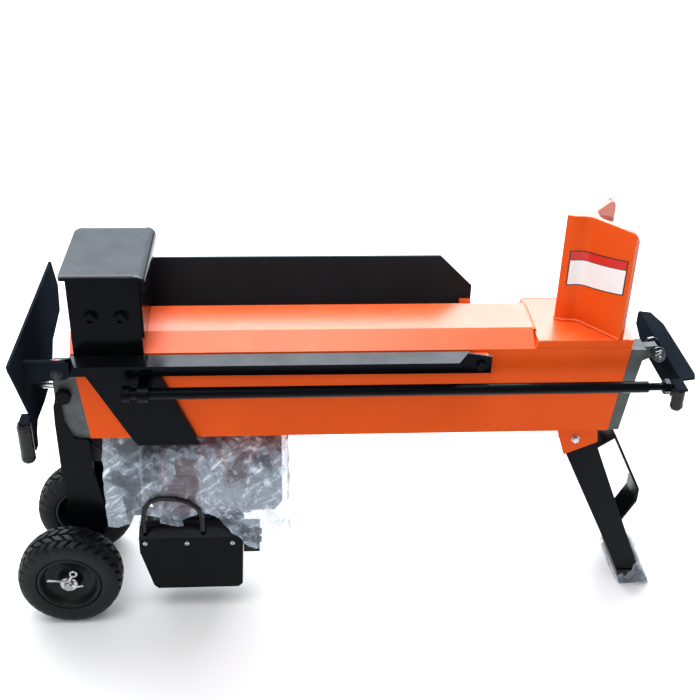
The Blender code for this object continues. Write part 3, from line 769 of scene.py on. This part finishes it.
def split_pin(y_out, s):
    """A washer on the axle's end and a pin through it: an eye with two bent legs."""
    washer = turned([(y_out, 6.3), (y_out, 11.5), (y_out - 1.3 * s, 11.5), (y_out - 1.3 * s, 6.3)], "Y",
                    WHEEL_AXIS, 36, closed=True)
    y = y_out - 4.6 * s
    wire, fine = 1.5, 2.5
    leg_a = [(-26, y, -199), (-31, y, -208), (-36, y - 1 * s, -208), (-48, y - 2.5 * s, -205),
             (-59, y - 3 * s, -204)]
    leg_b = [(-26, y, -199), (-30, y, -209), (-28, y - 1 * s, -215), (-19, y - 2.5 * s, -216),
             (-11, y - 3 * s, -214)]
    eye = [(-23.5 + 4.4 * cos(t * pi / 6), y, -195.5 + 4.4 * sin(t * pi / 6)) for t in range(13)]
    return join(washer, tube(spread(leg_a, fine), wire, 10), tube(spread(leg_b, fine), wire, 10),
                tube(eye, wire, 10))


for tag, yc, s in (("near", -16, 1), ("far", 134, -1)):
    body = "wheel_" + tag
    tyre = piece("tread_" + tag, *treaded(yc), "tyre_rubber", body, sharp=28)
    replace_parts(tyre, "tyre_" + tag)
    centre = piece("wheel_centre_" + tag, *rim_shape(yc, s), "black_plastic", body, sharp=32)
    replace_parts(centre, "rim_" + tag)
    piece("split_pin_" + tag, *split_pin(yc - 20.4 * s, s), ZINC, "frame")


# ---- motor: cooling fins, fan grille, oil pipe and pump screws -----------------------------------
def motor_fin(a):
    """One fin along the motor at an angle, lower at both ends."""
    d, w = Vector((cos(a), sin(a))), Vector((-sin(a), cos(a)))
    verts = []
    for x, taper in ((102, 0.4), (106, 1.0), (214, 1.0), (218, 0.4)):
        for r, half in ((59.6, 1.5), (59.6 + 3.6 * taper, 0.9)):
            for side in (-1, 1):
                q = d * r + w * half * side
                verts.append((x, BEAM_MID + q.x, MOTOR_Z + q.y))
    faces = [(0, 1, 3, 2), (14, 15, 13, 12)]
    for c in (0, 4, 8):
        faces += [(c, c + 4, c + 5, c + 1), (c + 1, c + 5, c + 7, c + 3), (c + 3, c + 7, c + 6, c + 2),
                  (c + 2, c + 6, c + 4, c)]
    return verts, faces


def round_motor(x, r, a):
    """A point at a radius and an angle round the motor's axis."""
    return on_axis("X", (0, BEAM_MID, MOTOR_Z), x, r, a)


fin_angles = [2 * pi * k / 30 for k in range(30)]
piece("motor_fins", *join(*[motor_fin(a) for a in fin_angles if not 1.25 < a < 1.9]), "motor_paint", "frame",
      sharp=40)
bars = [tube([round_motor(259.6, 13, a), round_motor(259.6, 49, a)], 1.2, 8)
        for a in [2 * pi * k / 16 for k in range(16)]]
hoops = [tube([round_motor(259.8, r, 2 * pi * k / 48) for k in range(49)], 1.3, 8) for r in (18, 28, 38, 48)]
piece("fan_grille", *join(*bars, *hoops), "black_plastic", "frame")
pipe_route = [(-4, 24, -20), (6, 20, -22), (22, 18, -34), (34, 18, -52), (42, 19, -62), (44, 20.5, -72)]
pipe = tube(spread(pipe_route, 3), 3.2, 12)
unions = join(hex_nut("Z", (44, 20.5, 0), -80, -70, 11), hex_nut("X", (0, 24, -20), -7, 1, 11))
piece("pressure_pipe", *join(pipe, unions), "dark_casting", "frame")
pump_screws = [turned([(24.9, 3.6), (22.2, 3.6), (21.6, 3.0)], "Y", (x, 0, z), 20)
               for x in (27, 65) for z in (-68, -142)]
piece("pump_screws", *join(*pump_screws), "dark_casting", "frame")


# ---- raised rings on the grips -------------------------------------------------------------------
def grip_rings(x, y, levels, r):
    """Raised rings round an upright grip, one at each level."""
    rings = []
    for z in levels:
        section = [(z + 0.9 * cos(t * pi / 4), r - 0.5 + 0.9 * sin(t * pi / 4)) for t in range(8)]
        rings.append(turned(section, "Z", (x, y, 0), 36, closed=True))
    return join(*rings)


piece("left_grip_rings", *grip_rings(-61, -30, (-7, -3, 37, 41), 9.0), "grip_rubber", "left_control")
piece("right_grip_rings", *grip_rings(763, -47.5, (69.7, 72.7), 8.0), "grip_rubber", "right_control")


# ---- clear film ----------------------------------------------------------------------------------
def rough_fold(p, size):
    """Sharp-crested crumple, at most about 1.2: folds of a size in millimetres, drawn out along a lean."""
    lean, draw = 0.62, 3.0
    x, y, z = p
    q = Vector((x * cos(lean) + z * sin(lean), y, (z * cos(lean) - x * sin(lean)) / draw)) / size
    a = abs(noise.noise(q + Vector((3.1, 7.7, 1.3))))
    b = abs(noise.noise(q * 2.1 + Vector((9.2, 0.4, 5.5))))
    c = abs(noise.noise(q * 4.6 + Vector((2.7, 4.1, 8.8))))
    return 1.6 * (0.5 - a) + 0.8 * (0.4 - b) + 0.4 * (0.3 - c)


def sheet_faces(nu, nv):
    return grid(nu + 1, nv + 1)


def motor_film():
    """Open-bottomed wrap: over the motor, down in front of and behind it, gathered at the fan end."""
    nu, nv = 150, 190
    front_y, back_y, lid_z = -7.4, 125.6, -140
    verts = []
    for i in range(nu + 1):
        u = i / nu
        x = 72 + 196 * min(1.0, u / 0.9)
        close = max(0.0, (u - 0.9) / 0.1)
        hem = -128 - 12 * noise.noise(Vector((x / 28, 1.7, 0.2))) - (10 if 95 < x < 125 else 0)
        hem -= 34 * max(0.0, min(1.0, (x - 168) / 40)) + 10 * max(0.0, min(1.0, (x - 208) / 14))
        hem = max(hem, -182) + 26 * max(0.0, (x - 236) / 32) ** 2
        for j in range(nv + 1):
            v = j / nv
            if v < 0.22:
                t = 1 - v / 0.22
                y, z = front_y, MOTOR_Z + (hem - MOTOR_Z) * t
                out = Vector((0, -1, 0))
                if x < 207 and z < lid_z:
                    over = lid_z - z
                    y, z = front_y - over * 0.85, lid_z - over * 0.75
                elif x >= 207:
                    y -= 10 * t * (1 - t)
            elif v > 0.78:
                t = (v - 0.78) / 0.22
                y, z = back_y, MOTOR_Z - 62 * t - 10 * noise.noise(Vector((x / 30, 5.5, 2.2))) * t
                out = Vector((0, 1, 0))
            else:
                a = pi * (v - 0.22) / 0.56
                y, z = BEAM_MID - 66.5 * cos(a), MOTOR_Z + 68.5 * sin(a)
                out = Vector((0, -cos(a), sin(a)))
            free = 0.3 + 0.7 * max(0.0, min(1.0, (x - 155) / 30))
            if v > 0.3:
                free = 1.0
            f = rough_fold((x, y, z), 17)
            push = max(0.0, 0.5 + f) * 7.0 * free
            slide = (3.0 + 5.0 * u * u) * noise.noise(Vector((y / 16, z / 14, x / 20)))
            p = Vector((x + slide, y, z)) + out * push
            if close:
                k = 1 - 0.86 * close
                pleat = 1 + 0.1 * sin(v * 70) * close
                p = Vector((x + 2.5 * close + 2.0 * sin(v * 46) * close,
                            BEAM_MID + (p.y - BEAM_MID) * k * pleat,
                            MOTOR_Z + (p.z - MOTOR_Z) * k * pleat))
            p.y = max(-24.0, min(p.y, 140.0))
            verts.append(tuple(p))
    return verts, sheet_faces(nu, nv)


def pump_film():
    """A loose apron of the same film in front of the pump, tucked up beside the oil block."""
    nu, nv = 60, 90
    verts = []
    for i in range(nu + 1):
        x = 24 + 52 * i / nu
        low = -138 - 14 * noise.noise(Vector((x / 18, 8.1, 0.7)))
        for j in range(nv + 1):
            t = j / nv
            z = -10 + (low + 10) * t
            y = 24 - 27 * min(1.0, t * 1.9) ** 0.8
            f = rough_fold((x + 200, y, z), 26)
            sway = 2.0 * noise.noise(Vector((z / 12, y / 12, x / 15)))
            verts.append((x + sway, y - max(0.0, 0.5 + f) * 4.5, z))
    return verts, sheet_faces(nu, nv)


def foot_film():
    """A torn sleeve of film round the pad and the end of the leg."""
    nu, nv = 150, 26
    verts = []
    for j in range(nv + 1):
        t = j / nv
        for i in range(nu + 1):
            a = 2 * pi * i / nu
            c, s = cos(a), sin(a)
            z = GROUND + 1.5 + (15 + 25 * max(0.0, cos(a + 0.7))) * t
            x0 = 751 - 0.22 * (z + 262)
            x1 = 806 - 0.62 * (z - GROUND)
            k = 1 / max(abs(c), abs(s)) ** 0.8
            x = (x0 + x1) / 2 + (x1 - x0) / 2 * c * k
            y = BEAM_MID + 50 * s * k
            f = rough_fold((x, y, z + 70), 20)
            push = max(0.0, 0.4 + f) * 3.4 * (0.4 + t)
            n = Vector((c, s, 0)).normalized() * push
            torn = (4 * sin(a * 5) + 3 * sin(a * 11)) * t * t
            verts.append((min(x + n.x, 810), max(-10, y + n.y), z + torn))
    return verts, sheet_faces(nv, nu)


wrap = piece("motor_film", *motor_film(), "clear_film", "frame", sharp=180)
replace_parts(wrap, "film_cover")
apron = piece("pump_film", *pump_film(), "clear_film", "frame", sharp=180)
sleeve = piece("foot_film", *foot_film(), "clear_film", "frame", sharp=180)

# ---- floor and light -----------------------------------------------------------------------------
REACH = 8
floor_mesh = bpy.data.meshes.new("floor")
floor_mesh.from_pydata([(-REACH, -REACH, 0), (REACH, -REACH, 0), (REACH, REACH, 0), (-REACH, REACH, 0)], [],
                       [(0, 1, 2, 3)])
floor = bpy.data.objects.new("floor", floor_mesh)
bpy.context.scene.collection.objects.link(floor)
floor_mat, tree, shader = new_mat("floor_white")
cloud = noise_tex(tree, coords(tree), 3.0, 3.0)
tree.links.new(mix(tree, cloud, (0.8, 0.8, 0.8), (0.77, 0.77, 0.77)), shader.inputs["Base Color"])
shader.inputs["Roughness"].default_value = 0.8
shader.inputs["Specular IOR Level"].default_value = 0.1
floor_mesh.materials.append(floor_mat)

bpy.context.scene.view_settings.view_transform = "Standard"
sky = bpy.data.worlds.new("studio")
bpy.context.scene.world = sky
sky.use_nodes = True
backdrop = sky.node_tree.nodes["Background"]
backdrop.inputs["Color"].default_value = (0.9, 0.95, 1.0, 1.0)
backdrop.inputs["Strength"].default_value = 0.4


def lamp(name, where, target, size, power, colour=(1, 1, 1)):
    """A soft rectangular lamp aimed at a point; places and sizes in metres, power in watts."""
    data = bpy.data.lights.new(name, "AREA")
    data.shape = "RECTANGLE"
    data.size, data.size_y = size
    data.energy = power
    data.color = colour
    obj = bpy.data.objects.new(name, data)
    bpy.context.scene.collection.objects.link(obj)
    obj.location = where
    aim = Vector(target) - Vector(where)
    obj.rotation_euler = aim.to_track_quat("-Z", "Y").to_euler()


lamp("back_box", (-0.3, 2.8, 1.6), (0, 0, 0.3), (5.5, 1.4), 60, (0.74, 0.87, 1.0))
lamp("high_box", (-0.2, 2.0, 2.5), (0, 0, 0.3), (5.0, 1.4), 110, (0.9, 0.95, 1.0))
lamp("top_box", (-0.2, 0.1, 2.6), (0, 0, 0.2), (3.0, 1.4), 75)
lamp("key_box", (-1.2, -1.9, 2.2), (0, 0, 0.25), (2.0, 1.5), 22)
lamp("sweep_box", (0.0, 3.6, 3.2), (0, 4.2, 0), (6.0, 2.5), 190)
